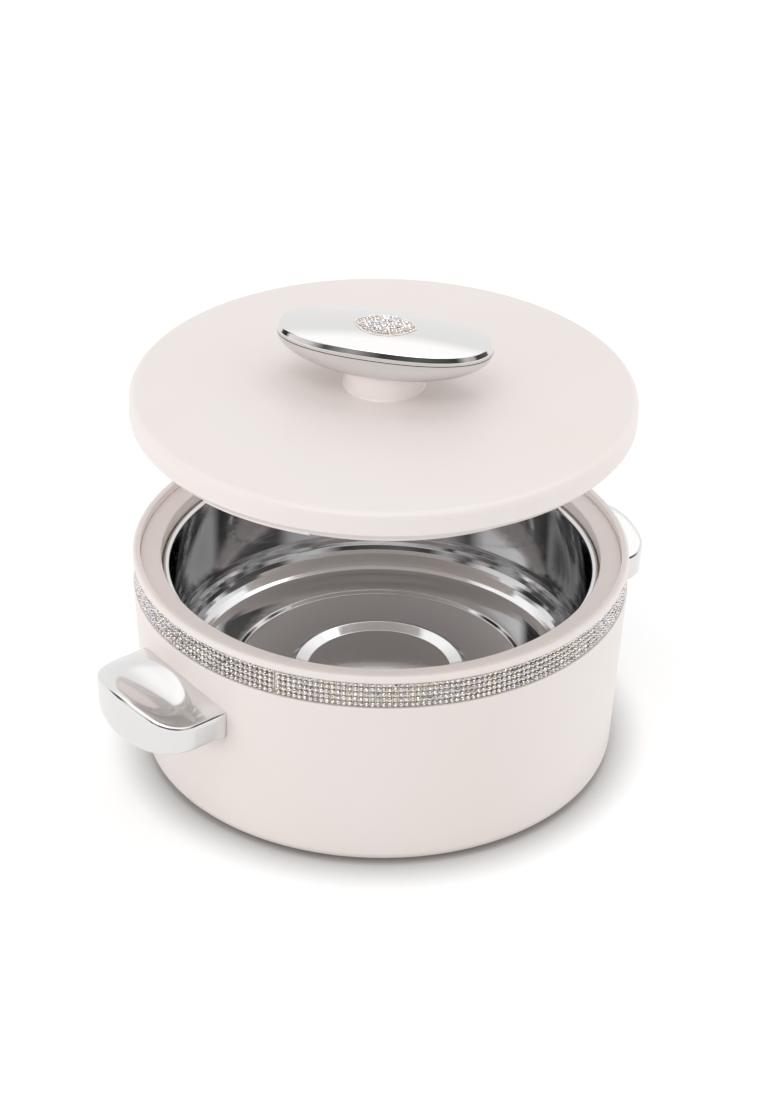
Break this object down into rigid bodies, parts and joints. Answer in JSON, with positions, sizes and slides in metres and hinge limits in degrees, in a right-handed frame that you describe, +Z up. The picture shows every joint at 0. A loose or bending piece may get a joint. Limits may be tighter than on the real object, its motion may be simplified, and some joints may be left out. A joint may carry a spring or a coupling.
{
  "type": "insulated casserole",
  "caption": "Round double-walled serving casserole with a steel bowl, two side handles, a stone-set band and an insulated lift-off lid with an oval knob.",
  "frame": {"origin": "middle of the pot on the surface that its feet stand on", "axes": "+Z up; +X from the pot's middle to the right handle; +Y completes the right-handed frame"},
  "size_m": [0.3176, 0.2508, 0.2366],
  "materials": {
    "ivory_plastic": "satin warm ivory moulding",
    "polished_steel": "mirror-polished stainless steel",
    "foam": "rigid foam",
    "base_plastic": "matt moulding",
    "fastener_steel": "plain zinc-plated steel",
    "foot_rubber": "soft grey-white rubber",
    "strip_metal": "champagne-plated cups",
    "clear_stone": "foil-backed clear stones",
    "chrome_plating": "bright chrome plating on plastic"
  },
  "bodies": {
    "pot": {"outer_shell": "ivory_plastic", "rim_collar": "ivory_plastic", "inner_bowl": "polished_steel", "body_foam": "foam", "foam_plug": "ivory_plastic", "base_cover": "base_plastic", "base_screws": "fastener_steel", "rubber_feet": "foot_rubber", "stone_strip": "strip_metal", "band_stones": "clear_stone", "handle_right": "chrome_plating", "handle_left": "chrome_plating", "handle_washers": "fastener_steel", "handle_screws": "fastener_steel"},
    "lid": {"lid_cover": "ivory_plastic", "lid_liner": "ivory_plastic", "lid_foam": "foam", "lid_foam_plug": "ivory_plastic", "knob_pedestal": "ivory_plastic", "knob_base": "chrome_plating", "knob_top": "chrome_plating", "knob_inlay": "strip_metal", "knob_stones": "clear_stone", "knob_washers": "fastener_steel", "knob_screws": "fastener_steel"}
  },
  "joints": [
    {"name": "lid_lift", "type": "slide", "parent": "pot", "child": "lid", "axis": [0, 0, 1], "range_m": [-0.074, 0.11]}
  ]
}
